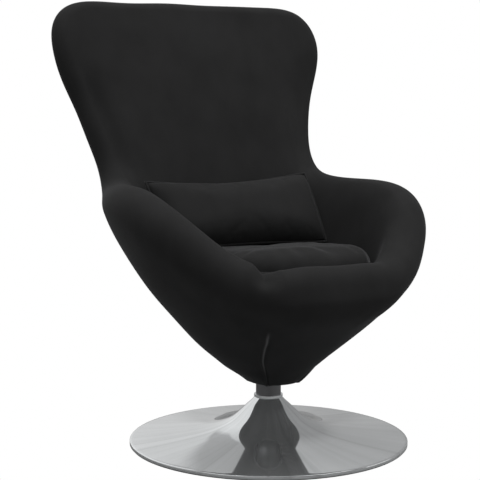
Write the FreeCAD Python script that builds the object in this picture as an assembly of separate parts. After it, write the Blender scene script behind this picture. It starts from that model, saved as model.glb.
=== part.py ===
import FreeCAD, Part
import math
import os

# An egg-shaped lounge chair in millimetres. A moulded, upholstered bucket shell with a seat cushion and a
# lumbar pillow turns on a round column that stands in a spun trumpet base. The origin is on the floor on the
# column's axis, +Z is up and the sitter faces -Y. Each piece is a solid of its own and goes to its own file.

# Base and column
BASE_RADIUS = 300.0
TRUMPET_WALL = 1.5
NECK_HEIGHT = 100.0
SKIRT_FOOT = 2.0
PLATE_THICKNESS = 5.0
FLOOR_RING_HEIGHT = 3.0
FLOOR_RING_WIDTH = 18.0
COLUMN_RADIUS = 27.0
COLUMN_WALL = 2.0
COLUMN_TOP = 246.0
COLLAR_HEIGHT = 5.0
COLLAR_WIDTH = 4.0
COLUMN_PLUG_HEIGHT = 22.0
COLUMN_BOLT_RADIUS = 6.0
COLUMN_BOLT_LENGTH = 26.0
COLUMN_BOLT_HEAD_RADIUS = 10.0
COLUMN_BOLT_HEAD_HEIGHT = 3.0
COLUMN_BOLT_SOCKET = 6.0

# Swivel
SPINDLE_RADIUS = 12.5
SPINDLE_FOOT = 96.0
SPINDLE_CHAMFER = 2.0
SLEEVE_FOOT = 120.0
THRUST_WASHER_THICKNESS = 6.0
CLIP_THICKNESS = 1.6
CLIP_DEPTH = 1.5
CLIP_WIDTH = 5.0
HUB_HEIGHT = 43.0
HUB_WALL = 6.0
MOUNT_PLATE_SIDE = 180.0
MOUNT_PLATE_THICKNESS = 5.0
MOUNT_PLATE_CORNER = 22.0
MOUNT_RIB_THICKNESS = 4.0
MOUNT_RIB_REACH = 44.0
MOUNT_RIB_SHARE = 0.75
PLATE_BOLT_PITCH = 140.0
PLATE_BOLT_RADIUS = 4.0
PLATE_BOLT_LENGTH = 20.0
PLATE_BOLT_HEAD = 13.0
PLATE_BOLT_HEAD_HEIGHT = 5.3

# Seat deck
DECK_HALF_WIDTH = 200.0
DECK_FRONT = 215.0
DECK_REAR = 176.0
DECK_SQUARENESS = 0.8
BOARD_THICKNESS = 18.0
DECK_PAD_THICKNESS = 12.0
BOARD_INSET = 16.0
CAVITY_SHOULDER = 224.0
HEM_WALL = 10.0

# Shell: the core line of its padded rim, the hem at its foot and its walls
HEM_RADIUS = 60.0
HEM_HEIGHT = 139.0
HEM_RING_THICKNESS = 4.0
LIP_REACH = 262.0
LIP_HEIGHT = 371.0
LIP_ROLL = 42.0
ARM_HALF_WIDTH = 297.0
ARM_HEIGHT = 511.0
ARM_ROLL = 47.0
WAIST_HALF_WIDTH = 243.0
WAIST_HEIGHT = 588.0
WAIST_ROLL = 32.0
WING_HALF_WIDTH = 315.0
WING_HEIGHT = 855.0
BACK_REACH = 412.0
BACK_HEIGHT = 932.0
BACK_ROLL = 28.0

# The walls at the front, at the arms and at the back: how far and at how many degrees of rise the outer wall
# leaves the hem, and how high the inner wall stands straight on the deck
HEM_SPREAD = (58.0, 200.0, 250.0)
HEM_RISE = (38.0, 36.0, 36.0)
DECK_STAND = (20.0, 60.0, 150.0)
DECK_SPLAY = 0.2
# How far each wall keeps to its roll's direction, and how far below the roll it aims, as shares of its length
OUTER_REACH = (0.28, 0.52, 0.54)
OUTER_AIM = 0.6
INNER_REACH = 0.44
INNER_AIM = 0.4
# Where the rim climbs, the walls fan out from it: how much of their reach is held back, and how far the outer
# and the inner wall go in square to the rim, as shares of their length
FAN_HOLD = 0.6
OUTER_FAN = 0.24
INNER_FAN = 0.35

# Loose cushions
CUSHION_THICKNESS = 98.0
CUSHION_WEDGE = 0.1
CUSHION_HALF_WIDTH = 196.0
CUSHION_FRONT = 206.0
CUSHION_REAR = 159.0
CUSHION_SQUARENESS = 0.72
PILLOW_LENGTH = 408.0
PILLOW_HEIGHT = 172.0
PILLOW_THICKNESS = 126.0
PILLOW_LEAN = 33.0
PILLOW_WAIST = 10.0
PILLOW_SQUARENESS = 0.3
PILLOW_REACH = 138.0
ZIP_THICKNESS = 2.0
ZIP_HEIGHT = 8.0
ZIP_SPREAD = 35.0

# Clearances
RUNNING_CLEARANCE = 0.05
SEAT_CLEARANCE = 0.3
NECK_CLEARANCE = 0.3
PILLOW_CLEARANCE = 0.6
HEM_CLEARANCE = 3.0
BOLT_CLEARANCE = 0.5
PLATE_CLEARANCE = 6.0
PLATE_INSET = 2.0

# Heights that follow from the sizes above
PLATE_FOOT = FLOOR_RING_HEIGHT
PLATE_TOP = PLATE_FOOT + PLATE_THICKNESS
CLIP_TOP = SLEEVE_FOOT - SEAT_CLEARANCE
HUB_FOOT = COLUMN_TOP + THRUST_WASHER_THICKNESS
MOUNT_PLATE_FOOT = HUB_FOOT + HUB_HEIGHT
BOARD_FOOT = MOUNT_PLATE_FOOT + MOUNT_PLATE_THICKNESS
BOARD_TOP = BOARD_FOOT + BOARD_THICKNESS
DECK_HEIGHT = BOARD_TOP + DECK_PAD_THICKNESS
SLEEVE_BORE = SPINDLE_RADIUS + RUNNING_CLEARANCE
MOUNT_PLATE_REACH = MOUNT_PLATE_CORNER + math.sqrt(2.0) * (MOUNT_PLATE_SIDE / 2 - MOUNT_PLATE_CORNER)
CAVITY_RADIUS = MOUNT_PLATE_REACH + PLATE_CLEARANCE

X_AXIS = FreeCAD.Vector(1, 0, 0)
Z_AXIS = FreeCAD.Vector(0, 0, 1)
ORIGIN = FreeCAD.Vector(0, 0, 0)


def vec(x, y, z):
    return FreeCAD.Vector(x, y, z)


def save(name, shape):
    """Write one piece, and say so when it is not a sound solid."""
    if not shape.isValid() or shape.Volume <= 0:
        print("not sound:", name)
    shape.exportStep("parts/" + name + ".step")
    print(name, len(shape.Solids), round(shape.Volume))


def tube(outer, inner, foot, top):
    """An upright tube, ring or washer on the column's axis."""
    body = Part.makeCylinder(outer, top - foot, vec(0, 0, foot))
    return body.cut(Part.makeCylinder(inner, top - foot, vec(0, 0, foot)))


def turned(profile):
    """A solid of revolution about Z from a closed outline of (radius, height) points."""
    wire = Part.makePolygon([vec(r, 0, z) for r, z in profile + profile[:1]])
    return Part.Face(wire).revolve(ORIGIN, Z_AXIS, 360)


def unit(vector):
    return vector * (1.0 / vector.Length)


def flatten(vector, normal):
    """The part of a vector that lies square to a unit normal."""
    return vector - normal * vector.dot(normal)


def bezier(a, b, c, d, t):
    s = 1.0 - t
    return a * s**3 + b * (3 * s * s * t) + c * (3 * s * t * t) + d * t**3


# The rim of the shell
#
# Fifteen stations follow the core line of the padded rim from the middle of the front lip over the +X arm,
# in at the waist and up the wing to the middle of the back's top edge. Each has the core point, the way the
# rim's edge faces there, the radius of its roll, how far round the roll goes in degrees, and the bearing in
# degrees at which its section reaches the hem and the deck.
RIM = [
    (vec(0, -LIP_REACH, LIP_HEIGHT), vec(0, -0.45, 0.9), LIP_ROLL, 135, -90),
    (vec(78, 5 - LIP_REACH, LIP_HEIGHT), vec(0.08, -0.45, 0.9), LIP_ROLL, 135, -76),
    (vec(140, 26 - LIP_REACH, LIP_HEIGHT - 1), vec(0.2, -0.4, 0.9), LIP_ROLL + 1, 135, -62),
    (vec(ARM_HALF_WIDTH - 73, -167, ARM_HEIGHT - 100), vec(0.3, -0.25, 0.9), ARM_ROLL - 1, 132, -43),
    (vec(ARM_HALF_WIDTH - 7, -76, ARM_HEIGHT - 28), vec(0.3, -0.1, 0.94), ARM_ROLL + 1, 130, -23),
    (vec(ARM_HALF_WIDTH, 35, ARM_HEIGHT), vec(0.25, 0, 0.97), ARM_ROLL, 130, -4),
    (vec(ARM_HALF_WIDTH - 20, 140, ARM_HEIGHT + 4), vec(0.3, 0, 0.95), ARM_ROLL - 4, 135, 13),
    (vec(WAIST_HALF_WIDTH + 7, 222, ARM_HEIGHT + 23), vec(0.5, -0.1, 0.85), WAIST_ROLL + 5, 140, 25),
    (vec(WAIST_HALF_WIDTH, 277, WAIST_HEIGHT), vec(0.85, -0.25, 0.3), WAIST_ROLL, 150, 34),
    (vec(WAIST_HALF_WIDTH + 17, 316, WAIST_HEIGHT + 82), vec(0.9, -0.35, 0), BACK_ROLL, 155, 42),
    (vec(WING_HALF_WIDTH - 25, BACK_REACH - 64, WING_HEIGHT - 90), vec(0.9, -0.33, 0.03), BACK_ROLL, 160, 51),
    (vec(WING_HALF_WIDTH, BACK_REACH - 46, WING_HEIGHT), vec(0.9, -0.3, 0.1), BACK_ROLL, 160, 60),
    (vec(WING_HALF_WIDTH - 25, BACK_REACH - 21, BACK_HEIGHT - 13), vec(0.6, 0, 0.75), BACK_ROLL, 166, 68),
    (vec(190, BACK_REACH - 8, BACK_HEIGHT - 1), vec(0.1, 0.22, 0.97), BACK_ROLL, 172, 78),
    (vec(0, BACK_REACH, BACK_HEIGHT), vec(0, 0.25, 0.97), BACK_ROLL, 172, 90),
]
HALF_TURN = len(RIM) - 1
FULL_TURN = 2 * HALF_TURN


def closed_curve(points):
    """A smooth closed curve that passes its n-th point at parameter n."""
    curve = Part.BSplineCurve()
    curve.interpolate(Points=points, PeriodicFlag=True, Parameters=list(range(len(points) + 1)))
    return curve


def mirrored(values, flip):
    """The stations of both halves in one round, the -X half mirrored by flip."""
    return values + [flip(value) for value in values[-2:0:-1]]


CORE = closed_curve(mirrored([s[0] for s in RIM], lambda p: vec(-p.x, p.y, p.z)))
EDGE = closed_curve(mirrored([s[1] for s in RIM], lambda e: vec(-e.x, e.y, e.z)))
EVEN_BEARINGS = [-90.0 + 180.0 * k / HALF_TURN for k in range(HALF_TURN + 1)]
LEADS = [station[4] - even for station, even in zip(RIM, EVEN_BEARINGS)]
ROLL = closed_curve(
    mirrored([vec(s[2], s[3], lead) for s, lead in zip(RIM, LEADS)], lambda r: vec(r.x, r.y, -r.z))
)


def smooth(t):
    """From 0 to 1 with level ends, for t from 0 to 1."""
    t = min(max(t, 0.0), 1.0)
    return t * t * (3 - 2 * t)


def share(k, values):
    """A value that goes from the first at the front over the second at the arm to the third at the back."""
    front, middle, rear = values
    along = abs(k if k <= HALF_TURN else FULL_TURN - k)
    turn_in = 6.0
    if along < turn_in:
        return front + (middle - front) * smooth(along / turn_in)
    return middle + (rear - middle) * smooth((along - turn_in) / (HALF_TURN - turn_in))


def deck_point(bearing, inset, height):
    """A point on the deck's rounded outline, moved in by inset."""
    c = math.cos(bearing)
    s = math.sin(bearing)
    depth = DECK_REAR if s > 0 else DECK_FRONT
    x = math.copysign(abs(c) ** DECK_SQUARENESS, c) * (DECK_HALF_WIDTH - inset)
    y = math.copysign(abs(s) ** DECK_SQUARENESS, s) * (depth - inset)
    return vec(x, y, height)


def wall_handle(start, target, normal, reach, onward):
    """The control point by which a wall leaves its roll, in the roll's own tangent plane.

    It aims at the target by its reach and goes on from the roll by onward, both shares of the distance.
    """
    way = unit(flatten(target - start, normal)) * reach
    return start + (way + onward) * (target - start).Length


def shell_section(k):
    """The shell's section at rim parameter k: its outer wall, roll and inner wall as three functions."""
    core = CORE.value(k)
    along = unit(CORE.getD1(k)[1])
    edge = unit(flatten(EDGE.value(k), along))
    out = along.cross(edge)
    radius, sweep, lead = ROLL.value(k)
    sweep = math.radians(sweep)
    bearing = math.radians(-90.0 + 360.0 * k / FULL_TURN + lead)
    ray = vec(math.cos(bearing), math.sin(bearing), 0)

    steep = along.z**2
    rise = math.radians(share(k, HEM_RISE))
    spread = share(k, HEM_SPREAD)
    hem = ray * HEM_RADIUS + Z_AXIS * HEM_HEIGHT
    low = hem + ray * (spread * math.cos(rise)) + Z_AXIS * (spread * math.sin(rise))
    outer_end = core + out * radius
    aim = vec(low.x, low.y, outer_end.z - OUTER_AIM * (outer_end.z - low.z))
    hold = 1.0 - FAN_HOLD * steep
    high = wall_handle(outer_end, aim, out, share(k, OUTER_REACH) * hold, edge * (-OUTER_FAN * steep))

    def roll(t):
        turn = sweep * t
        return core + out * (radius * math.cos(turn)) + edge * (radius * math.sin(turn))

    facing = out * math.cos(sweep) + edge * math.sin(sweep)
    inner_start = roll(1)
    deck = deck_point(bearing, 0, DECK_HEIGHT)
    stand = share(k, DECK_STAND)
    rest = deck + ray * (DECK_SPLAY * stand) + Z_AXIS * stand
    aim = vec(rest.x, rest.y, inner_start.z - INNER_AIM * (inner_start.z - rest.z))
    onward = (edge * math.cos(sweep) - out * math.sin(sweep)) * (INNER_FAN * steep)
    leave = wall_handle(inner_start, aim, facing, INNER_REACH * hold, onward)
    return (
        lambda t: bezier(hem, low, high, outer_end, t),
        roll,
        lambda t: bezier(inner_start, leave, rest, deck, t),
    )


# How finely the shell's sections are spaced round the rim and along each wall
RIM_STEPS = 3
OUTER_STEPS = [0.0, 0.2, 0.4, 0.6, 0.8]
ROLL_STEPS = [0.0, 0.2, 0.4, 0.6, 0.8, 1.0]
INNER_STEPS = [0.2, 0.4, 0.6, 0.8, 1.0]
# How the sections' walls are averaged with their neighbours, and over what share of a wall that sets in
NEIGHBOUR_WEIGHTS = [1, 2, 3, 4, 3, 2, 1]
WALL_EASE = 0.3


def facet(a, b, c):
    """A flat three-cornered face, or nothing where two of its corners meet."""
    return Part.Face(Part.makePolygon([a, b, c, a]))


def loft_rings(rings):
    """A solid laid in flat facets between closed rings with the same count of points, with flat ends.

    Each four-cornered cell between two rings is split along its shorter diagonal.
    """
    faces = []
    for lower, upper in zip(rings, rings[1:]):
        for i, a in enumerate(lower):
            b = lower[(i + 1) % len(lower)]
            c = upper[(i + 1) % len(upper)]
            d = upper[i]
            if (c - a).Length < (d - b).Length:
                faces += [facet(a, b, c), facet(a, c, d)]
            else:
                faces += [facet(a, b, d), facet(b, c, d)]
    for ring in (rings[0], rings[-1]):
        faces.append(Part.Face(Part.makePolygon(ring + ring[:1])))
    skin = Part.makeShell(faces)
    skin.sewShape()
    solid = Part.makeSolid(Part.Shell(skin.Faces))
    if solid.Volume < 0:
        solid.reverse()
    return solid


def prism(outline, foot, top):
    """An upright slab with the given closed outline of points."""
    face = Part.Face(Part.makePolygon([vec(p.x, p.y, foot) for p in outline + outline[:1]]))
    return face.extrude(Z_AXIS * (top - foot))


def deck_outline(inset, count=48):
    """The deck's rounded outline, moved in by inset."""
    return [deck_point(math.radians(360.0 * i / count), inset, 0) for i in range(count)]


def eased(walls, t):
    """A ring of wall points at share t, each one eased towards the average of its neighbours.

    The ease is nothing at both ends of the wall and full over its middle. It takes out ridges at the wings.
    """
    own = [wall(t) for wall in walls]
    ease = smooth(t / WALL_EASE) * smooth((1 - t) / WALL_EASE)
    ring = []
    for i, point in enumerate(own):
        mean = vec(0, 0, 0)
        for offset, weight in enumerate(NEIGHBOUR_WEIGHTS, -(len(NEIGHBOUR_WEIGHTS) // 2)):
            mean += own[(i + offset) % len(own)] * (weight / sum(NEIGHBOUR_WEIGHTS))
        ring.append(point + (mean - point) * ease)
    return ring


def shell_form():
    """The padded shell without its hollow: closed over the hem at its foot and over the deck inside."""
    sections = [shell_section(k / RIM_STEPS) for k in range(FULL_TURN * RIM_STEPS)]
    outers, rolls, inners = zip(*sections)
    rings = [eased(outers, t) for t in OUTER_STEPS]
    rings += [[roll(t) for roll in rolls] for t in ROLL_STEPS]
    rings += [eased(inners, t) for t in INNER_STEPS]
    return loft_rings(rings)


def seat_shell():
    """The upholstered bucket: open below for the column and swivel, stepped above for board and pad."""
    throat = HEM_RADIUS - HEM_WALL
    hollow = turned(
        [
            (0, HEM_HEIGHT - 1),
            (throat, HEM_HEIGHT - 1),
            (throat, HEM_HEIGHT + HEM_WALL),
            (CAVITY_RADIUS, CAVITY_SHOULDER),
            (CAVITY_RADIUS, BOARD_FOOT),
            (0, BOARD_FOOT),
        ]
    )
    recess = prism(deck_outline(BOARD_INSET), BOARD_FOOT, DECK_HEIGHT + 1)
    return shell_form().cut(hollow.fuse(recess))


def bolt_places():
    """The four corners of the mounting plate's bolt square, in plan."""
    half = PLATE_BOLT_PITCH / 2
    return [vec(x, y, 0) for x in (-half, half) for y in (-half, half)]


def drilled(body, radius, foot, top):
    """The body with an upright hole at each bolt place."""
    for place in bolt_places():
        body = body.cut(Part.makeCylinder(radius, top - foot, place + Z_AXIS * foot))
    return body


def seat_board():
    """The plywood board that the shell is moulded on, bored for the four bolts."""
    board = prism(deck_outline(BOARD_INSET + SEAT_CLEARANCE), BOARD_FOOT, BOARD_TOP)
    return drilled(board, PLATE_BOLT_RADIUS, BOARD_FOOT, MOUNT_PLATE_FOOT + PLATE_BOLT_LENGTH)


def deck_pad():
    """The foam pad on the board, level with the shell's inner floor."""
    return prism(deck_outline(BOARD_INSET + SEAT_CLEARANCE), BOARD_TOP, DECK_HEIGHT)


def hem_ring():
    """The trim ring that holds the gathered hem, round the column with a running gap."""
    outline = [shell_section(k / RIM_STEPS)[0](0) for k in range(FULL_TURN * RIM_STEPS)]
    disc = prism(outline, HEM_HEIGHT - HEM_RING_THICKNESS, HEM_HEIGHT)
    bore = COLUMN_RADIUS + HEM_CLEARANCE
    return disc.cut(Part.makeCylinder(bore, HEM_RING_THICKNESS, vec(0, 0, HEM_HEIGHT - HEM_RING_THICKNESS)))


# The trumpet base and its column


def trumpet_outline():
    """The trumpet's outer profile as (radius, height), from its neck down and out to its edge."""
    neck = COLUMN_RADIUS + NECK_CLEARANCE + TRUMPET_WALL
    reach = BASE_RADIUS - neck
    edge = PLATE_TOP + TRUMPET_WALL
    rise = NECK_HEIGHT - edge
    # shares of the reach and of the rise
    shape = [
        (0.0, 1.0),
        (0.07, 0.79),
        (0.22, 0.41),
        (0.5, 0.12),
        (1.0, 0.0),
    ]
    return [(neck + reach * out, edge + rise * up) for out, up in shape]


def base_trumpet():
    """The spun steel trumpet: a thin wall that flares from the neck and turns down round the base plate."""
    outer = trumpet_outline() + [(BASE_RADIUS, SKIRT_FOOT)]
    bore = COLUMN_RADIUS + NECK_CLEARANCE
    inner = offset_inward(outer, TRUMPET_WALL)
    inner[0] = (bore, NECK_HEIGHT)
    inner[-1] = (BASE_RADIUS - TRUMPET_WALL, SKIRT_FOOT)
    return turned(outer + inner[::-1])


def offset_inward(profile, wall):
    """The (radius, height) profile moved square to itself by wall, mitred at its corners."""
    points = [vec(r, 0, z) for r, z in profile]
    ways = [unit(b - a) for a, b in zip(points, points[1:])]
    moved = []
    for point, before, after in zip(points, ways[:1] + ways, ways + ways[-1:]):
        along = unit(before + after)
        depth = wall / math.sqrt((1 + before.dot(after)) / 2)
        moved.append((point.x + along.z * depth, point.z - along.x * depth))
    return moved


def base_plate():
    """The heavy steel disc under the trumpet, sunk and drilled below for the column bolt."""
    plate = Part.makeCylinder(BASE_RADIUS - PLATE_INSET, PLATE_THICKNESS, vec(0, 0, PLATE_FOOT))
    sunk = COLUMN_BOLT_HEAD_RADIUS + BOLT_CLEARANCE
    plate = plate.cut(Part.makeCylinder(sunk, COLUMN_BOLT_HEAD_HEIGHT, vec(0, 0, PLATE_FOOT)))
    return plate.cut(
        Part.makeCylinder(COLUMN_BOLT_RADIUS + BOLT_CLEARANCE, PLATE_THICKNESS, vec(0, 0, PLATE_FOOT))
    )


def column_bolt():
    """The low-headed socket bolt that draws the column's plug down on the base plate."""
    head = Part.makeCylinder(COLUMN_BOLT_HEAD_RADIUS, COLUMN_BOLT_HEAD_HEIGHT, vec(0, 0, PLATE_FOOT))
    shank = Part.makeCylinder(COLUMN_BOLT_RADIUS, COLUMN_BOLT_LENGTH, vec(0, 0, PLATE_FOOT))
    socket = hexagon(COLUMN_BOLT_SOCKET, PLATE_FOOT, PLATE_FOOT + COLUMN_BOLT_HEAD_HEIGHT * 2 / 3)
    return head.fuse(shank).cut(socket)


def hexagon(across, foot, top, place=ORIGIN):
    """An upright hexagonal prism, across its flats, centred on a place in plan."""
    corner = across / math.sqrt(3)
    points = []
    for i in range(6):
        turn = math.radians(60 * i)
        points.append(place + vec(corner * math.cos(turn), corner * math.sin(turn), 0))
    return prism(points, foot, top)


def column_plug():
    """The turned plug pressed and welded in the column's foot, tapped for the column bolt."""
    return tube(COLUMN_RADIUS - COLUMN_WALL, COLUMN_BOLT_RADIUS, PLATE_TOP, PLATE_TOP + COLUMN_PLUG_HEIGHT)


def column_tube():
    """The round column, from the base plate up into the shell."""
    return tube(COLUMN_RADIUS, COLUMN_RADIUS - COLUMN_WALL, PLATE_TOP, COLUMN_TOP)


def collar_ring():
    """The bright collar that closes the trumpet's neck round the column."""
    bore = COLUMN_RADIUS + RUNNING_CLEARANCE
    return tube(COLUMN_RADIUS + COLLAR_WIDTH, bore, NECK_HEIGHT, NECK_HEIGHT + COLLAR_HEIGHT)


def floor_ring():
    """The soft ring under the base plate's edge that meets the floor."""
    outer = BASE_RADIUS - PLATE_INSET
    return tube(outer, outer - FLOOR_RING_WIDTH, 0, FLOOR_RING_HEIGHT)


# The swivel


def column_sleeve():
    """The long plain sleeve pressed in the column, up to its mouth, that guides the spindle."""
    return tube(COLUMN_RADIUS - COLUMN_WALL, SLEEVE_BORE, SLEEVE_FOOT, COLUMN_TOP)


def thrust_washer():
    """The washer between the column's mouth and the hub, on which the seat turns."""
    return tube(COLUMN_RADIUS, SLEEVE_BORE, COLUMN_TOP, HUB_FOOT)


def retaining_clip():
    """The open spring clip in the spindle's groove, just under the sleeve."""
    top = CLIP_TOP
    groove = SPINDLE_RADIUS - CLIP_DEPTH
    ring = tube(groove + CLIP_WIDTH, groove, top - CLIP_THICKNESS, top)
    mouth = Part.makeBox(
        2 * CLIP_WIDTH,
        2 * CLIP_WIDTH,
        CLIP_THICKNESS,
        vec(-CLIP_WIDTH, groove - CLIP_WIDTH, top - CLIP_THICKNESS),
    )
    return ring.cut(mouth)


def spindle():
    """The turned spindle welded in the plate's hub, grooved near its foot for the clip."""
    rod = Part.makeCylinder(SPINDLE_RADIUS, BOARD_FOOT - SPINDLE_FOOT, vec(0, 0, SPINDLE_FOOT))
    tip = [edge for edge in rod.Edges if edge.BoundBox.ZMax < SPINDLE_FOOT + 1]
    rod = rod.makeChamfer(SPINDLE_CHAMFER, tip)
    top = CLIP_TOP
    return rod.cut(tube(SPINDLE_RADIUS + 1, SPINDLE_RADIUS - CLIP_DEPTH, top - CLIP_THICKNESS, top))


def mount_plate():
    """The steel plate under the seat board, with its hub and four gusset ribs in one weldment."""
    half = MOUNT_PLATE_SIDE / 2
    plate = Part.makeBox(
        MOUNT_PLATE_SIDE, MOUNT_PLATE_SIDE, MOUNT_PLATE_THICKNESS, vec(-half, -half, MOUNT_PLATE_FOOT)
    )
    corners = [e for e in plate.Edges if abs(e.BoundBox.ZLength - MOUNT_PLATE_THICKNESS) < 0.01]
    plate = plate.makeFillet(MOUNT_PLATE_CORNER, [e for e in corners if e.BoundBox.XLength < 0.01])
    plate = plate.cut(Part.makeCylinder(SPINDLE_RADIUS, MOUNT_PLATE_THICKNESS, vec(0, 0, MOUNT_PLATE_FOOT)))
    plate = drilled(plate, PLATE_BOLT_RADIUS + BOLT_CLEARANCE, MOUNT_PLATE_FOOT, BOARD_FOOT)
    hub = SPINDLE_RADIUS + HUB_WALL
    body = plate.fuse(tube(hub, SPINDLE_RADIUS, HUB_FOOT, MOUNT_PLATE_FOOT))
    root = hub - HUB_WALL / 2
    drop = MOUNT_PLATE_FOOT - HUB_HEIGHT * MOUNT_RIB_SHARE
    outline = [
        vec(root, 0, MOUNT_PLATE_FOOT),
        vec(hub + MOUNT_RIB_REACH, 0, MOUNT_PLATE_FOOT),
        vec(hub, 0, drop),
        vec(root, 0, drop),
    ]
    rib = Part.Face(Part.makePolygon(outline + outline[:1])).extrude(vec(0, MOUNT_RIB_THICKNESS, 0))
    rib.translate(vec(0, -MOUNT_RIB_THICKNESS / 2, 0))
    for i in range(4):
        side = rib.copy()
        side.rotate(ORIGIN, Z_AXIS, 90 * i)
        body = body.fuse(side)
    return body.removeSplitter()


def at_bolts(piece):
    """Four copies of a piece, one at each bolt place, in one shape."""
    copies = []
    for place in bolt_places():
        copy = piece.copy()
        copy.translate(place)
        copies.append(copy)
    return Part.makeCompound(copies)


def plate_bolts():
    """The hexagon bolts that come up through the plate and thread into the board."""
    head = hexagon(PLATE_BOLT_HEAD, MOUNT_PLATE_FOOT - PLATE_BOLT_HEAD_HEIGHT, MOUNT_PLATE_FOOT)
    shank = Part.makeCylinder(PLATE_BOLT_RADIUS, PLATE_BOLT_LENGTH, vec(0, 0, MOUNT_PLATE_FOOT))
    return at_bolts(head.fuse(shank))


# The loose cushions


def cushion_point(bearing, inset, height):
    """A point on the seat cushion's rounded outline, moved in by inset."""
    c = math.cos(bearing)
    s = math.sin(bearing)
    depth = CUSHION_REAR if s > 0 else CUSHION_FRONT
    x = math.copysign(abs(c) ** CUSHION_SQUARENESS, c) * (CUSHION_HALF_WIDTH - inset)
    y = math.copysign(abs(s) ** CUSHION_SQUARENESS, s) * (depth - inset)
    return vec(x, y, height)


CUSHION_SIDES = 40
CUSHION_FOOT = DECK_HEIGHT + SEAT_CLEARANCE
# From the flat underside over the border, fullest at its middle and drawn in at both seams, to the crown:
# how far each ring is moved in, in mm, and the share of the thickness at which it lies.
CUSHION_RINGS = [
    (9, 0.0),
    (4, 0.05),
    (0, 0.4),
    (1, 0.66),
    (4, 0.8),
    (10, 0.885),
    (22, 0.94),
    (45, 0.975),
    (90, 0.993),
    (150, 1.0),
]


def cushion_height(y, level):
    """How high a level of the cushion lies at y: it is a wedge, thickest in front."""
    return CUSHION_FOOT + (CUSHION_THICKNESS - CUSHION_WEDGE * y) * level


def seat_cushion():
    """The loose seat cushion, with a flat underside, drawn-in border and crown."""
    rings = []
    for inset, level in CUSHION_RINGS:
        ring = [cushion_point(2 * math.pi * i / CUSHION_SIDES, inset, 0) for i in range(CUSHION_SIDES)]
        rings.append([vec(point.x, point.y, cushion_height(point.y, level)) for point in ring])
    return loft_rings(rings)


def cushion_zip():
    """The zip tape along the back of the cushion's border, on its fullest line."""
    step = 360.0 / CUSHION_SIDES
    reach = int(ZIP_SPREAD / step)
    bearings = [math.radians(90.0 + step * i) for i in range(-reach, reach + 1)]
    outline = [cushion_point(bearing, -ZIP_THICKNESS, 0) for bearing in bearings]
    outline += [cushion_point(bearing, 0, 0) for bearing in bearings[::-1]]
    middle = cushion_height(CUSHION_REAR, CUSHION_RINGS[2][1])
    return prism(outline, middle - ZIP_HEIGHT / 2, middle + ZIP_HEIGHT / 2)


PILLOW_SIDES = 40
# Half of the pillow from its seam to near the middle of a face: the scale of each ring and its share of the
# half thickness.
PILLOW_RINGS = [
    (1.0, 0.0),
    (0.965, 0.24),
    (0.9, 0.45),
    (0.78, 0.68),
    (0.6, 0.87),
    (0.38, 0.97),
    (0.16, 1.0),
]


def pillow_ring(scale, depth):
    """A ring of the upright pillow: X along it, Z up it and Y through it, sides drawn in between corners."""
    ring = []
    for i in range(PILLOW_SIDES):
        bearing = 2 * math.pi * (i + 0.5) / PILLOW_SIDES
        c = math.cos(bearing)
        s = math.sin(bearing)
        across = math.copysign(abs(c) ** PILLOW_SQUARENESS, c)
        up = math.copysign(abs(s) ** PILLOW_SQUARENESS, s)
        x = across * (PILLOW_LENGTH / 2 - PILLOW_WAIST * (1 - up * up))
        z = up * (PILLOW_HEIGHT / 2 - PILLOW_WAIST * (1 - across * across))
        ring.append(vec(x * scale, depth, z * scale))
    return ring


def cushion_level(x, y):
    """How high the cushion's top lies over a place in plan, or its fullest line beyond its edge."""
    inset = CUSHION_RINGS[-1][0]
    for (wide, upper), (narrow, lower) in zip(CUSHION_RINGS[:1:-1], CUSHION_RINGS[-2:0:-1]):
        corner = cushion_point(math.atan2(y, x), 0, 0)
        within = 1.0 - math.hypot(x, y) / math.hypot(corner.x, corner.y)
        inset = within * min(CUSHION_HALF_WIDTH, CUSHION_REAR)
        if inset >= wide:
            return cushion_height(y, upper)
        if inset >= narrow:
            return cushion_height(y, lower + (upper - lower) * (inset - narrow) / (wide - narrow))
    return cushion_height(y, CUSHION_RINGS[2][1])


def lumbar_pillow():
    """The lumbar pillow, leaning towards the backrest and standing on the rear of the cushion."""
    half = PILLOW_THICKNESS / 2
    rings = [pillow_ring(scale, -half * depth) for scale, depth in PILLOW_RINGS[::-1]]
    rings += [pillow_ring(scale, half * depth) for scale, depth in PILLOW_RINGS[1:]]
    pillow = loft_rings(rings)
    pillow.rotate(ORIGIN, X_AXIS, -PILLOW_LEAN)
    pillow.translate(vec(0, PILLOW_REACH, 0))
    corners = [vertex.Point for vertex in pillow.Vertexes]
    lift = max(cushion_level(corner.x, corner.y) - corner.z for corner in corners)
    pillow.translate(vec(0, 0, lift + PILLOW_CLEARANCE))
    return pillow


PIECES = {
    "floor_ring": floor_ring,
    "base_plate": base_plate,
    "base_trumpet": base_trumpet,
    "column_bolt": column_bolt,
    "column_plug": column_plug,
    "column_tube": column_tube,
    "collar_ring": collar_ring,
    "column_sleeve": column_sleeve,
    "thrust_washer": thrust_washer,
    "spindle": spindle,
    "retaining_clip": retaining_clip,
    "mount_plate": mount_plate,
    "plate_bolts": plate_bolts,
    "seat_board": seat_board,
    "deck_pad": deck_pad,
    "seat_shell": seat_shell,
    "hem_ring": hem_ring,
    "seat_cushion": seat_cushion,
    "cushion_zip": cushion_zip,
    "lumbar_pillow": lumbar_pillow,
}

os.makedirs("parts", exist_ok=True)
for name, build in PIECES.items():
    save(name, build())
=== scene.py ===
import math

import bpy
import numpy as np
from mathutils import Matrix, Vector
from mathutils.kdtree import KDTree


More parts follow.
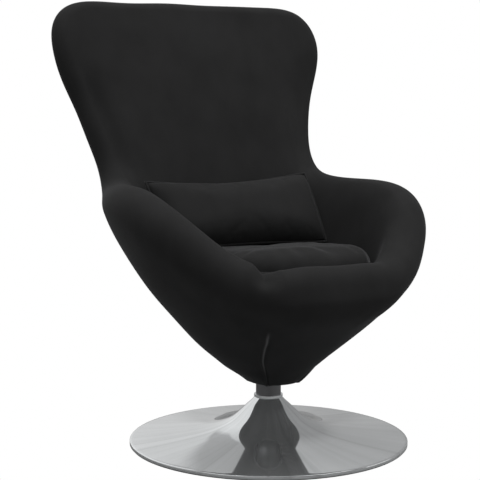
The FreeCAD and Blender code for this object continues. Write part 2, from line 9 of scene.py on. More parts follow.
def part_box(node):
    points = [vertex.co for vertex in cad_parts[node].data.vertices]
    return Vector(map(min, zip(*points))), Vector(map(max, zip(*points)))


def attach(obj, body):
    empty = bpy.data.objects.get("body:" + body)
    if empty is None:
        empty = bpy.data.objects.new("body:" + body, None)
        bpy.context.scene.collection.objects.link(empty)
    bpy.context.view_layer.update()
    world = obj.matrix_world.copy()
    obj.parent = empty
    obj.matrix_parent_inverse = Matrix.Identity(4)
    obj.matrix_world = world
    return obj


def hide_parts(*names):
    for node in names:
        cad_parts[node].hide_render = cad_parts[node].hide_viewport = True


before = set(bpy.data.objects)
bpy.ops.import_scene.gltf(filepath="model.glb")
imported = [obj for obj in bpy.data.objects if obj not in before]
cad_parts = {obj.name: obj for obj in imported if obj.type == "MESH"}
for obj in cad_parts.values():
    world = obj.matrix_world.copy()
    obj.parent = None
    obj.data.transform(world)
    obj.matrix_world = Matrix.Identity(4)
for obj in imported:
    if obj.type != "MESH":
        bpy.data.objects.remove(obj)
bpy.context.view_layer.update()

# An upholstered egg chair in charcoal velvet on a polished trumpet base, in metres. The sitter faces -Y.

# Sizes that the covers share with the construction
LIP_REACH, LIP_HEIGHT, LIP_ROLL = 0.262, 0.371, 0.042
ARM_HALF_WIDTH, ARM_HEIGHT, ARM_ROLL = 0.297, 0.511, 0.047
WAIST_HALF_WIDTH, WAIST_HEIGHT, WAIST_ROLL = 0.243, 0.588, 0.032
WING_HALF_WIDTH, WING_HEIGHT = 0.315, 0.855
BACK_REACH, BACK_HEIGHT, BACK_ROLL = 0.412, 0.932, 0.028
HEM_RADIUS, HEM_HEIGHT = 0.060, 0.139
DECK_HALF_WIDTH, DECK_FRONT, DECK_REAR = 0.200, 0.215, 0.176
DECK_HEIGHT, DECK_SQUARENESS = 0.330, 0.8
FAN_HOLD, OUTER_FAN, INNER_FAN = 0.6, 0.24, 0.35

# Sizes of the loose cushions and of the polished base
CUSHION_HALF_WIDTH, CUSHION_FRONT, CUSHION_REAR = 0.196, 0.206, 0.159
CUSHION_FOOT, CUSHION_NOSE = 0.3303, 0.042
PILLOW_HALF_WIDTH, PILLOW_HALF_HEIGHT, PILLOW_HALF_THICKNESS = 0.204, 0.086, 0.041
PILLOW_WAIST, PILLOW_LEAN, PIPING_RADIUS = 0.008, 33, 0.0030
# The cloth runs: what is held, near the pillow's seam and above the cushion's foot, then voxels and pressure
SEAM_REACH, HELD_RISE = 0.005, 0.0057
CLOTH_VOXEL, CLOTH_PRESSURE, CLOTH_FRAMES = 0.005, 4.0, 20
NECK_RADIUS, BASE_RADIUS, TRUMPET_WALL = 0.0288, 0.300, 0.0015
TRUMPET_FOOT, TRUMPET_TOP = 0.0095, 0.100


# Small tools


def unit(v):
    """Vectors over their own length."""
    return v / np.linalg.norm(v, axis=-1, keepdims=True)


def dot(a, b):
    """Dot products of two arrays of vectors, one value to a row."""
    return np.sum(a * b, axis=-1, keepdims=True)


def smooth(t):
    """0 to 1 with level ends: three t squared less two t cubed."""
    t = np.clip(t, 0, 1)
    return t * t * (3 - 2 * t)


def bump_at(distance, width):
    """A bell of height 1: e to the minus square of distance over width."""
    return np.exp(-((distance / width) ** 2))


def waves(points, length, seed, count=14):
    """Uneven waves of about 1 at most: a sum of plane sine waves near one length, in seeded directions."""
    draw = np.random.default_rng(seed)
    ways = unit(draw.normal(size=(count, 3)))
    lengths = length * draw.uniform(0.7, 1.6, count)
    phases = draw.uniform(0, 2 * math.pi, count)
    turns = points @ (ways * (2 * math.pi / lengths[:, None])).T + phases
    return np.sin(turns).sum(-1) / math.sqrt(count)


def mesh_object(name, points, faces, flat=False):
    """A mesh piece from its points and faces, smooth unless flat."""
    mesh = bpy.data.meshes.new(name)
    faces = [tuple(int(i) for i in face) for face in faces]
    mesh.from_pydata(np.asarray(points, float).tolist(), [], faces)
    mesh.polygons.foreach_set("use_smooth", np.full(len(mesh.polygons), not flat))
    mesh.update()
    piece = bpy.data.objects.new(name, mesh)
    bpy.context.collection.objects.link(piece)
    return piece


def rings_to_mesh(name, rings, foot=None, top=None):
    """A skin through closed rings of equal count, closed to a pole at either end where one is given."""
    rows, columns = rings.shape[:2]
    points = rings.reshape(-1, 3)
    here = np.arange(rows * columns).reshape(rows, columns)
    right = np.roll(here, -1, axis=1)
    faces = np.stack([here[:-1], right[:-1], right[1:], here[1:]], axis=-1).reshape(-1, 4).tolist()
    if foot is not None:
        pole = np.full(columns, len(points))
        points = np.vstack([points, foot])
        faces += np.stack([pole, right[0], here[0]], axis=-1).tolist()
    if top is not None:
        pole = np.full(columns, len(points))
        points = np.vstack([points, top])
        faces += np.stack([here[-1], right[-1], pole], axis=-1).tolist()
    return mesh_object(name, points, faces)


def band(name, rings):
    """A skin through closed rings of equal count whose last ring joins the first."""
    rows, columns = rings.shape[:2]
    here = np.arange(rows * columns).reshape(rows, columns)
    right = np.roll(here, -1, axis=1)
    faces = np.stack([here, right, np.roll(right, -1, axis=0), np.roll(here, -1, axis=0)], axis=-1)
    return mesh_object(name, rings.reshape(-1, 3), faces.reshape(-1, 4))


def revolve(name, profile, sides=192):
    """A closed skin of revolution: a closed profile of radii and heights, turned about Z."""
    turn = np.linspace(0, 2 * math.pi, sides, endpoint=False)
    radius, height = np.array(profile).T[:, :, None]
    rings = np.stack([radius * np.cos(turn), radius * np.sin(turn), height + 0 * turn], axis=-1)
    return band(name, rings)


def tube_along(name, path, radius, sides=8):
    """A closed ring of tube: circles of the radius square to a closed path."""
    along = unit(np.roll(path, -1, 0) - np.roll(path, 1, 0))
    side = unit(np.cross(along, np.array([0.0, 0.0, 1.0]) + 1e-6))
    up = np.cross(side, along)
    turn = np.linspace(0, 2 * math.pi, sides, endpoint=False)[:, None, None]
    return band(name, path + radius * (np.cos(turn) * side + np.sin(turn) * up))


# The shell's surface, the same as the construction's


def stations():
    """The rim's stations on the +X half: core point, edge direction, roll radius, roll end, bearing."""
    beside_wing = WING_HALF_WIDTH - 0.025
    rows = [
        (0, -LIP_REACH, LIP_HEIGHT, 0, -0.45, 0.9, LIP_ROLL, 135, -90),
        (0.078, 0.005 - LIP_REACH, LIP_HEIGHT, 0.08, -0.45, 0.9, LIP_ROLL, 135, -76),
        (0.140, 0.026 - LIP_REACH, LIP_HEIGHT - 0.001, 0.2, -0.4, 0.9, LIP_ROLL + 0.001, 135, -62),
        (ARM_HALF_WIDTH - 0.073, -0.167, ARM_HEIGHT - 0.100, 0.3, -0.25, 0.9, ARM_ROLL - 0.001, 132, -43),
        (ARM_HALF_WIDTH - 0.007, -0.076, ARM_HEIGHT - 0.028, 0.3, -0.1, 0.94, ARM_ROLL + 0.001, 130, -23),
        (ARM_HALF_WIDTH, 0.035, ARM_HEIGHT, 0.25, 0, 0.97, ARM_ROLL, 130, -4),
        (ARM_HALF_WIDTH - 0.020, 0.140, ARM_HEIGHT + 0.004, 0.3, 0, 0.95, ARM_ROLL - 0.004, 135, 13),
        (WAIST_HALF_WIDTH + 0.007, 0.222, ARM_HEIGHT + 0.023, 0.5, -0.1, 0.85, WAIST_ROLL + 0.005, 140, 25),
        (WAIST_HALF_WIDTH, 0.277, WAIST_HEIGHT, 0.85, -0.25, 0.3, WAIST_ROLL, 150, 34),
        (WAIST_HALF_WIDTH + 0.017, 0.316, WAIST_HEIGHT + 0.082, 0.9, -0.35, 0, BACK_ROLL, 155, 42),
        (beside_wing, BACK_REACH - 0.064, WING_HEIGHT - 0.090, 0.9, -0.33, 0.03, BACK_ROLL, 160, 51),
        (WING_HALF_WIDTH, BACK_REACH - 0.046, WING_HEIGHT, 0.9, -0.3, 0.1, BACK_ROLL, 160, 60),
        (beside_wing, BACK_REACH - 0.021, BACK_HEIGHT - 0.013, 0.6, 0, 0.75, BACK_ROLL, 166, 68),
        (0.190, BACK_REACH - 0.008, BACK_HEIGHT - 0.001, 0.1, 0.22, 0.97, BACK_ROLL, 172, 78),
        (0, BACK_REACH, BACK_HEIGHT, 0, 0.25, 0.97, BACK_ROLL, 172, 90),
    ]
    half = np.array(rows, float)
    half[:, 8] -= np.linspace(-90, 90, len(half))
    mirror = half[-2:0:-1] * [-1, 1, 1, -1, 1, 1, 1, 1, -1]
    return np.vstack([half, mirror])


STATIONS = stations()
ROUND = len(STATIONS)
HALF_TURN = ROUND // 2
# Slopes of the closed cubic through the stations: each slope and its two neighbours balance the chord
BALANCE = 4 * np.eye(ROUND) + np.roll(np.eye(ROUND), 1, 0) + np.roll(np.eye(ROUND), -1, 0)
SLOPES = np.linalg.solve(BALANCE, 3 * (np.roll(STATIONS, -1, 0) - np.roll(STATIONS, 1, 0)))


def along_rim(k):
    """The stations' values at rim parameters k, and how they change there: the closed cubic and its slope."""
    low = np.floor(k).astype(int)
    t = (k - low)[:, None]
    a, b = STATIONS[low % ROUND], STATIONS[(low + 1) % ROUND]
    m, n = SLOPES[low % ROUND], SLOPES[(low + 1) % ROUND]
    value = a * (2 * t**3 - 3 * t**2 + 1) + m * (t**3 - 2 * t**2 + t)
    value = value + b * (3 * t**2 - 2 * t**3) + n * (t**3 - t**2)
    change = (a - b) * (6 * t**2 - 6 * t) + m * (3 * t**2 - 4 * t + 1) + n * (3 * t**2 - 2 * t)
    return value, change


def share(k, front, middle, rear):
    """A value that goes from front over middle, at the arm, to rear, alike on both sides."""
    along = np.where(k <= HALF_TURN, k, ROUND - k)
    arm = 6.0
    first = front + (middle - front) * smooth(along / arm)
    second = middle + (rear - middle) * smooth((along - arm) / (HALF_TURN - arm))
    return np.where(along < arm, first, second)[:, None]


def deck_ring(bearing, inset, height):
    """The deck's rounded outline: powers of cosine and sine times its half width and depth, less inset."""
    c, s = np.cos(bearing), np.sin(bearing)
    depth = np.where(s > 0, DECK_REAR, DECK_FRONT)
    x = np.sign(c) * np.abs(c) ** DECK_SQUARENESS * (DECK_HALF_WIDTH - inset)
    y = np.sign(s) * np.abs(s) ** DECK_SQUARENESS * (depth - inset)
    return np.stack([x, y, np.full_like(x, height)], axis=-1)


def bezier(a, b, c, d, t):
    """The cubic curve of four control points at shares t, one row for each share."""
    t = t[:, None, None]
    s = 1 - t
    return a * s**3 + b * (3 * s * s * t) + c * (3 * s * t * t) + d * t**3


def wall_handle(start, target, normal, reach, onward):
    """A control point in the roll's tangent plane: towards the target by reach, and onward from the roll."""
    way = target - start
    way = unit(way - normal * dot(way, normal)) * reach
    return start + (way + onward) * np.linalg.norm(target - start, axis=-1, keepdims=True)


def shell_walls(k, outer_shares, roll_shares, inner_shares):
    """The shell's surface at rim parameters k: rows up the outer wall, over the roll and down the inner wall.

    The outer wall is a cubic from the hem's circle to the rim's roll, the roll a circle's arc about the rim's
    core line from the outside over its edge, and the inner wall a cubic from there to the deck's outline.
    """
    value, change = along_rim(k)
    core, radius = value[:, :3], value[:, 6:7]
    along = unit(change[:, :3])
    edge = value[:, 3:6]
    edge = unit(edge - along * dot(edge, along))
    out = np.cross(along, edge)
    sweep = np.radians(value[:, 7:8])
    bearing = np.radians(-90 + 360 * k / ROUND + value[:, 8])
    ray = np.stack([np.cos(bearing), np.sin(bearing), np.zeros_like(k)], axis=-1)
    up = np.array([0.0, 0.0, 1.0])

    steep = along[:, 2:3] ** 2
    hold = 1 - FAN_HOLD * steep
    rise = np.radians(share(k, 38, 36, 36))
    spread = share(k, 0.058, 0.200, 0.250)
    hem = ray * HEM_RADIUS + up * HEM_HEIGHT
    low = hem + ray * spread * np.cos(rise) + up * spread * np.sin(rise)
    outer_end = core + out * radius
    aim = low.copy()
    aim[:, 2] = outer_end[:, 2] - 0.6 * (outer_end[:, 2] - low[:, 2])
    reach = share(k, 0.28, 0.52, 0.54)
    high = wall_handle(outer_end, aim, out, reach * hold, -edge * OUTER_FAN * steep)

    turn = sweep[None] * roll_shares[:, None, None]
    roll = core + out * radius * np.cos(turn) + edge * radius * np.sin(turn)

    facing = out * np.cos(sweep) + edge * np.sin(sweep)
    inner_start = core + radius * facing
    deck = deck_ring(bearing, 0, DECK_HEIGHT)
    foot = share(k, 0.020, 0.060, 0.150)
    rest = deck + ray * 0.2 * foot + up * foot
    aim = rest.copy()
    aim[:, 2] = inner_start[:, 2] - 0.4 * (inner_start[:, 2] - rest[:, 2])
    onward = (edge * np.cos(sweep) - out * np.sin(sweep)) * INNER_FAN * steep
    leave = wall_handle(inner_start, aim, facing, 0.44 * hold, onward)
    outer = bezier(hem, low, high, outer_end, outer_shares)
    inner = bezier(inner_start, leave, rest, deck, inner_shares)
    return outer, roll, inner, bearing


# Weights of the sections beside each one, by their distance in rim stations
NEIGHBOURS = {-1.0: 1, -2 / 3: 2, -1 / 3: 3, 0.0: 4, 1 / 3: 3, 2 / 3: 2, 1.0: 1}


def eased(own, averaged, shares):
    """Between both ends of a wall its own section gives way to the average of its neighbours."""
    ease = (smooth(shares / 0.3) * smooth((1 - shares) / 0.3))[:, None, None]
    return own + (averaged - own) * ease


def eased_walls(k, outer_shares, roll_shares, inner_shares):
    """The walls, each section's middle averaged over its neighbours, which takes out ridges at the wings."""
    outer, roll, inner, bearing = shell_walls(k, outer_shares, roll_shares, inner_shares)
    total = sum(NEIGHBOURS.values())
    outer_average, inner_average = 0, 0
    for offset, weight in NEIGHBOURS.items():
        around = shell_walls((k + offset) % ROUND, outer_shares, roll_shares, inner_shares)
        outer_average = outer_average + around[0] * (weight / total)
        inner_average = inner_average + around[2] * (weight / total)
    return eased(outer, outer_average, outer_shares), roll, eased(inner, inner_average, inner_shares), bearing


def grid_normals(rings):
    """Unit normals of a skin of closed rings: the way round crossed with the way up."""
    around = np.roll(rings, -1, 1) - np.roll(rings, 1, 1)
    upward = np.gradient(rings, axis=0)
    return unit(np.cross(around, upward) + 1e-12)


# The upholstered shell


RIM_STEPS = 26
OUTER_ROWS, ROLL_ROWS, INNER_ROWS = 56, 22, 64
# Bearings in degrees: the left mitre, and the courses of both front seams at their levels
LEFT_MITRE = -120.0
SEAM_LEVELS = (0, 0.3, 0.5, 0.7, 1.0, 1.6)
LEFT_COURSE = (-129, -122, -118, -116, -114, -120)
RIGHT_COURSE = (-44, -40, -38, -40, -50, -60)
# How far the hem hangs all round, and its lobes: bearing, width in degrees and depth
HEM_HANG = 0.0036
HEM_LOBES = ((-129, 7, 0.0062), (-33, 6, 0.0060), (30, 20, 0.0020), (140, 25, 0.0030))
HEM_SHIFT = np.array([0.006, -0.0035, 0])
# How far the cover laps in over the deck and turns in under the hem, and where it ends inside
DECK_LAP, TURN_IN, TURNED_RADIUS, TURNED_HEIGHT = 0.93, 0.92, 0.036, 0.1335
# The gathered ring in the hem: its gap to the cover, its upper edge inside the hem, and its bore
RING_GAP, RING_IN, RING_RISE = 0.0008, 0.93, 0.005
RING_BORE, RING_FOOT, RING_TOP = 0.031, 0.1345, 0.1385


def bell_round(degrees, bearing, width):
    """A bell of the width round a bearing, all in degrees."""
    return bump_at((degrees - bearing + 180) % 360 - 180, width)


def seams(degrees, level):
    """How deep both front seams lie, and how bright the highlight painted along them is.

    A seam is a groove on one side of its course, a low ridge on the other and a wide hollow about both. Each
    is a bell across the course. Groove, ridge and painted highlight fade out at level 0.66 and the hollow at
    level 1.
    """
    depth, seam_highlight = 0, 0
    for course, side in ((LEFT_COURSE, 1), (RIGHT_COURSE, -1)):
        line = np.interp(level, SEAM_LEVELS, course)
        below = smooth((0.66 - level) / 0.12)
        depth = depth + 0.0026 * bell_round(degrees, line + side * 1.3, 1.3) * below
        depth = depth - 0.0018 * bell_round(degrees, line - side * 1.0, 1.1) * below
        depth = depth + 0.0040 * bell_round(degrees, line, 7.0) * smooth((1.0 - level) / 0.6)
        # Painted highlight: a thin line of lighter colour beside each seam's course, where the lit edge of
        # the welt catches the light
        seam_highlight = seam_highlight + bell_round(degrees, line + side * 0.3, 0.5) * below * smooth((level + 0.05) / 0.35)
    return depth, seam_highlight


def mitre(degrees, level, deepest):
    """The sharp V at which the left arm's roll meets the lip's, deepest on the roll's top.

    It runs out to the arm over 5 degrees and to the lip over 9, as (1 - distance / reach) to the power 1.4.
    """
    away = (degrees - LEFT_MITRE + 180) % 360 - 180 + 3.5 * (level - 1.6)
    near = np.where(away < 0, -away / 5, away / 9)
    over = smooth((level - 1.15) / 0.4) * smooth((2.5 - level) / 0.5)
    return deepest * np.clip(1 - near, 0, 1) ** 1.4 * over


def padding(degrees, level):
    """How far the padding sinks: a bell up the wall swells under the lip, one sinks under the right arm."""
    from_front = np.abs((degrees + 270) % 360 - 180)
    swell = 0.0155 * bump_at(level - 0.88, 0.22) * smooth((32 - from_front) / 20)
    return 0.0060 * bump_at(level - 0.85, 0.2) * bell_round(degrees, -30, 20) - swell


def calmed(inner, k, shares):
    """The inner back drawn towards the mean of its columns on both sides, so that it runs flat to the wings.

    The strides to both sides get shorter and shorter, twice over. The calm starts at the waist and fades out
    at both ends of the wall.
    """
    along = np.where(k <= HALF_TURN, k, ROUND - k)
    middle = smooth(shares / 0.4) * smooth((1 - shares) / 0.4)
    hold = smooth((along - 8.0) / 2.5)[None] * middle[:, None]
    for stride in (26, 18, 12, 8, 5, 3) * 2:
        mean = (np.roll(inner, stride, 1) + np.roll(inner, -stride, 1)) / 2
        inner = inner + (mean - inner) * 0.5 * hold[..., None]
    return inner


def hang_hem(points, degrees, level):
    """The points with the hem hung, shifted and drawn in on the left, which all fade out up the wall."""
    drop = HEM_HANG + sum(deep * bell_round(degrees, bearing, width) for bearing, width, deep in HEM_LOBES)
    hung = points - ((1 - smooth(level / 0.16)) * drop)[..., None] * np.array([0, 0, 1])
    hung = hung + (1 - smooth(level / 0.3))[..., None] * HEM_SHIFT
    draw_in = 1 - 0.16 * bell_round(degrees, 175, 45) * (1 - smooth(level / 0.10))
    hung[..., :2] *= draw_in[..., None]
    return hung


def shell_cover():
    """The cover over the moulded shell, and the ring into which its hem is gathered.

    The construction's section is swept round the rim, and each point then sinks along its normal by the depth
    of seams, mitre, padding and slow waves. The cover turns in under the hem, and goes on inside the deck.
    """
    k = np.arange(ROUND * RIM_STEPS) / RIM_STEPS
    outer_shares = np.linspace(0, 1, OUTER_ROWS + 1)[:-1]
    roll_shares = np.linspace(0, 1, ROLL_ROWS + 1)
    inner_shares = np.linspace(0, 1, INNER_ROWS + 1)[1:]
    outer, roll, inner, bearing = eased_walls(k, outer_shares, roll_shares, inner_shares)
    rings = np.concatenate([outer, roll, calmed(inner, k, inner_shares)])
    degrees = np.degrees(bearing)[None]
    # 0 at the hem, 1 at the foot of the roll, 2 at its end, 3 on the deck
    level = np.concatenate([outer_shares, 1 + roll_shares, 2 + inner_shares])[:, None]

    depth, seam_highlight = seams(degrees, level)
    depth = depth + mitre(degrees, level, 0.014) + padding(degrees, level)
    slow = waves(rings.reshape(-1, 3), 0.16, 3).reshape(depth.shape)
    depth = depth + 0.0012 * slow * smooth(level / 0.3)
    points = hang_hem(rings - grid_normals(rings) * depth[..., None], degrees, level)

    ray = np.stack([np.cos(bearing), np.sin(bearing), np.zeros_like(bearing)], axis=-1)
    tuck = points[0] * [TURN_IN, TURN_IN, 1]
    turned = [ray * TURNED_RADIUS + [0, 0, TURNED_HEIGHT], tuck - [0, 0, RING_GAP]]
    floor = points[-1] * [DECK_LAP, DECK_LAP, 1]
    cover = rings_to_mesh("shell_cover", np.concatenate([turned, points, [floor]]))
    # The painted seam highlight is stored on the cover's points, for its colour
    highlight_values = cover.data.attributes.new("seam_highlight", "FLOAT", "POINT")
    highlight_values.data.foreach_set("value", np.pad(seam_highlight, ((2, 1), (0, 0))).ravel())
    gather = [tuck, points[0] * [RING_IN, RING_IN, 1] + [0, 0, RING_RISE]]
    gather += [ray * RING_BORE + [0, 0, height] for height in (RING_TOP, RING_FOOT)]
    return cover, band("hem_gather", np.array(gather))


shell, hem_gather = shell_cover()


# The loose cushions


def cushion_outline(bearing, inset, level):
    """The cushion's outline: powers of cosine and sine times its half width and depth, less inset.

    The power falls from 0.72 at the foot to 0.62 at the crown, so that the corners fill out upwards.
    """
    c, s = np.cos(bearing), np.sin(bearing)
    depth = np.where(s > 0, CUSHION_REAR, CUSHION_FRONT)
    power = 0.72 - 0.10 * level
    x = np.sign(c) * np.abs(c) ** power * (CUSHION_HALF_WIDTH - inset)
    y = np.sign(s) * np.abs(s) ** power * (depth - inset)
    return x, y


def cushion_thickness(x, y):
    """The cushion's thickness: a wedge, thickest in front, that sinks at its right front corner."""
    return 0.091 - 0.1 * y - 0.006 * smooth((0.87 * x - 0.5 * y - 0.09) / 0.14)


def cushion_section():
    """The cushion's section, as insets from its outline and levels from 0 at the foot to 1 at the crown.

    The border stands nearly upright, rolls over a wide nose by a quarter turn, and runs on to the crown.
    """
    section = [(0.030, 0.0), (0.012, 0.003), (0.007, 0.015), (0.004, 0.04)]
    for t in np.linspace(0, 1, 16):
        section.append((0.0035 * (1 - t) ** 2, 0.06 + 0.46 * t))
    for turn in np.linspace(0, math.pi / 2, 40)[1:]:
        section.append((CUSHION_NOSE * (1 - math.cos(turn)), 0.52 + 0.455 * math.sin(turn) ** 0.9))
    for t in np.linspace(0, 1, 24)[1:]:
        section.append((CUSHION_NOSE + 0.1 * t, 0.975 + 0.025 * (1 - (1 - t) ** 2)))
    return section


def box_cushion():
    """The seat cushion: a ring of its outline for each step of its section, and slow waves of the filling."""
    bearing = np.linspace(0, 2 * math.pi, 400, endpoint=False)
    insets, levels = np.array(cushion_section()).T[:, :, None]
    x, y = cushion_outline(bearing[None], insets, levels)
    rings = np.stack([x, y, CUSHION_FOOT + levels * cushion_thickness(x, y)], axis=-1)
    points = rings.reshape(-1, 3)
    swell = (0.0018 * waves(points, 0.11, 8) + 0.0008 * waves(points, 0.045, 21)).reshape(x.shape)
    moved = rings + grid_normals(rings) * (swell * smooth(levels / 0.3))[..., None]
    moved[:4, :, 2] = rings[:4, :, 2]
    return rings_to_mesh("cushion_cover", moved, foot=(0, 0, CUSHION_FOOT), top=moved[-1].mean(0))


def pillow_points(u, v):
    """The pillow's half outline and half thickness over u and v from -1 to 1, corners drawn out and sides in.

    The half thickness is (1 - u to the 4th)(1 - v to the 4th) to a power, 0.55 that grows to 0.7 at the foot.
    The top edge sags to the left of its middle and rises at the right corner, and the right side is convex.
    """
    x = u * (PILLOW_HALF_WIDTH - PILLOW_WAIST * (1 - v * v))
    z = v * (PILLOW_HALF_HEIGHT - PILLOW_WAIST * (1 - u * u))
    top = np.clip(v, 0, 1) ** 2
    z = z - 0.007 * bump_at(u + 0.25, 0.6) * top + 0.007 * bump_at(u - 1.0, 0.35) * top
    x = x + 0.010 * (1 - v * v) * np.clip(u, 0, 1) ** 4
    blunt = 0.55 + 0.15 * np.clip(-v, 0, 1)
    half = PILLOW_HALF_THICKNESS * np.clip((1 - u**4) * (1 - v**4), 0, 1) ** blunt
    return x, half, z


def lean_pillow(points):
    """Turned back by the lean about X and set in its place over the rear of the cushion."""
    lean = math.radians(PILLOW_LEAN)
    c, s = math.cos(lean), math.sin(lean)
    x, y, z = points[..., 0], points[..., 1], points[..., 2]
    moved = np.stack([x, c * y + s * z, -s * y + c * z], axis=-1)
    low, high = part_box("lumbar_pillow")
    return moved + (np.array(low) + np.array(high)) / 2


def pillow_form():
    """The pillow as one closed skin: rings between its two faces' middles by way of the seam."""
    run = np.linspace(-1, 1, 61)[:-1]
    one = np.ones_like(run)
    sides = ((run, -one), (one, run), (-run, one), (-one, -run))
    edge = np.concatenate([np.stack(side, -1) for side in sides])
    inward = 1 - np.linspace(0, 1, 41)[1:-1]
    rings = []
    for inset, face in [(s, -1) for s in inward[::-1]] + [(1.0, 0)] + [(s, 1) for s in inward]:
        x, half, z = pillow_points(edge[:, 0] * inset, edge[:, 1] * inset)
        rings.append(np.stack([x, half * face, z], axis=-1))
    poles = [lean_pillow(np.array([0, face * PILLOW_HALF_THICKNESS, 0])) for face in (-1, 1)]
    return lean_pillow(np.array(rings)), poles


def mesh_points(mesh):
    """A mesh's points as rows of an array."""
    points = np.empty(len(mesh.vertices) * 3)
    mesh.vertices.foreach_get("co", points)
    return points.reshape(-1, 3)


def evaluated(piece):
    """The piece's mesh as its modifiers leave it."""
    return bpy.data.meshes.new_from_object(piece.evaluated_get(bpy.context.evaluated_depsgraph_get()))


def cloth_over(piece, held, cap, slack, soften):
    """The piece's skin made cloth and blown up: remeshed, held where held says so, moved by the cap at most.

    Each point moves by cap times the hyperbolic tangent of its own move over the cap. Then soften rounds of
    smoothing take out fine creases, and one subdivision follows.
    """
    remesh = piece.modifiers.new("even", "REMESH")
    remesh.mode, remesh.voxel_size, remesh.use_smooth_shade = "VOXEL", CLOTH_VOXEL, True
    even = evaluated(piece)
    piece.modifiers.clear()
    piece.data = even
    rest = mesh_points(even)
    group = piece.vertex_groups.new(name="held")
    for index in np.nonzero(held(rest))[0]:
        group.add([int(index)], 1.0, "REPLACE")

    settings = piece.modifiers.new("cloth", "CLOTH").settings
    settings.use_pressure, settings.uniform_pressure_force = True, CLOTH_PRESSURE
    settings.effector_weights.gravity = 0
    settings.vertex_group_mass = "held"
    settings.shrink_min = -slack
    settings.quality = 6
    for step in range(CLOTH_FRAMES):
        bpy.context.scene.frame_set(step + 1)
    moved = mesh_points(evaluated(piece))
    piece.modifiers.clear()
    piece.vertex_groups.clear()
    bpy.context.scene.frame_set(1)

    way = moved - rest
    length = np.linalg.norm(way, axis=1, keepdims=True) + 1e-9
    even.vertices.foreach_set("co", (rest + way / length * cap * np.tanh(length / cap)).ravel())
    even.polygons.foreach_set("use_smooth", np.full(len(even.polygons), True))
    even.update()
    softer = piece.modifiers.new("softer", "SMOOTH")
    softer.factor, softer.iterations = 0.5, soften
    finer = piece.modifiers.new("finer", "SUBSURF")
    finer.levels = finer.render_levels = 1


def near(line, reach):
    """Says which points lie within reach of a line's points."""
    tree = KDTree(len(line))
    for index, point in enumerate(line):
        tree.insert(point, index)
    tree.balance()
    return lambda points: np.array([tree.find(point)[2] < reach for point in points])


def low_down(height):
    """Says which points lie below a height."""
    return lambda points: points[:, 2] < height


cushion = box_cushion()
PILLOW_RINGS, (PILLOW_REAR, PILLOW_FACE) = pillow_form()
PILLOW_SEAM = PILLOW_RINGS[len(PILLOW_RINGS) // 2]
pillow = rings_to_mesh("pillow_cover", PILLOW_RINGS, foot=PILLOW_REAR, top=PILLOW_FACE)
cloth_over(pillow, near(PILLOW_SEAM, SEAM_REACH), cap=0.008, slack=0.005, soften=2)
pillow_piping = tube_along("pillow_piping", PILLOW_SEAM, PIPING_RADIUS)
cloth_over(cushion, low_down(CUSHION_FOOT + HELD_RISE), cap=0.006, slack=0.001, soften=14)


# The base


def trumpet_profile():
    """The spun trumpet's section: the outside from the neck to the rolled edge, and back inside.

    Its height over the foot is a run of cubics with set heights and slopes at five shares of the way out.
    """
    knots = np.array([0, 0.07, 0.22, 0.5, 1.0])
    heights = np.array([1.0, 0.79, 0.42, 0.175, 0.0])
    slopes = np.array([-3.9, -2.8, -1.50, -0.46, -0.27])
    share_out = np.linspace(0, 1, 90) ** 1.6
    at = np.clip(np.searchsorted(knots, share_out, side="right") - 1, 0, 3)
    width = knots[at + 1] - knots[at]
    t = (share_out - knots[at]) / width
    rise = heights[at] * (2 * t**3 - 3 * t**2 + 1) + slopes[at] * width * (t**3 - 2 * t**2 + t)
    rise = rise + heights[at + 1] * (3 * t**2 - 2 * t**3) + slopes[at + 1] * width * (t**3 - t**2)
    radius = NECK_RADIUS + (BASE_RADIUS - NECK_RADIUS) * share_out
    height = TRUMPET_FOOT + (TRUMPET_TOP - TRUMPET_FOOT) * rise
    skin = list(zip(radius.tolist(), height.tolist()))
    edge = [(0.2990, 0.0094), (0.2996, 0.0090), (0.3, 0.0084), (0.3, 0.0022), (0.2997, 0.0020)]
    edge += [(0.2988, 0.0020), (0.2985, 0.0023), (0.2985, 0.0080)]
    bore = NECK_RADIUS - TRUMPET_WALL
    inside = [(max(r, bore + 0.0001), z - TRUMPET_WALL) for r, z in skin[:-4][::-6]]
    return skin[:-1] + edge + inside + [(bore, TRUMPET_TOP)]


trumpet = revolve("trumpet_skin", trumpet_profile())


# Materials


class Value:
    """A shader value: sums, differences, products and quotients of values make their own nodes."""

    def __init__(self, nodes, socket):
        self.nodes = nodes
        self.socket = socket

    def _with(self, operation, first, second):
        made = self.nodes.node("ShaderNodeMath", {"operation": operation}, {0: first, 1: second})
        return Value(self.nodes, made.outputs[0])

    def __add__(self, other):
        return self._with("ADD", self, other)

    def __radd__(self, other):
        return self._with("ADD", other, self)

    def __sub__(self, other):
        return self._with("SUBTRACT", self, other)

    def __rsub__(self, other):
        return self._with("SUBTRACT", other, self)

    def __mul__(self, other):
        return self._with("MULTIPLY", self, other)

    def __rmul__(self, other):
        return self._with("MULTIPLY", other, self)

    def __truediv__(self, other):
        return self._with("DIVIDE", self, other)

    def __rtruediv__(self, other):
        return self._with("DIVIDE", other, self)


class Nodes:
    """The nodes of a material or of the surround."""

    def __init__(self, tree):
        self.tree = tree

    def node(self, kind, settings=(), values=()):
        """A node of the kind: its settings first, then each socket's value or link."""
        made = self.tree.nodes.new(kind)
        for name, value in dict(settings).items():
            setattr(made, name, value)
        for name, value in dict(values).items():
            self.feed(made.inputs[name], value)
        return made

    def feed(self, socket, value):
        """Links a value or a socket to a socket, or sets a constant on it."""
        if isinstance(value, Value):
            value = value.socket
        if isinstance(value, bpy.types.NodeSocket):
            self.tree.links.new(value, socket)
        else:
            socket.default_value = value

    def clamp(self, value):
        """The value held between 0 and 1."""
        made = self.node("ShaderNodeClamp", {}, {"Value": value})
        return Value(self, made.outputs[0])

    def between(self, value, low, high, edge):
        """1 between low and high, with a ramp of the edge's width inside each."""
        return self.clamp((value - low) / edge) * self.clamp((high - value) / edge)


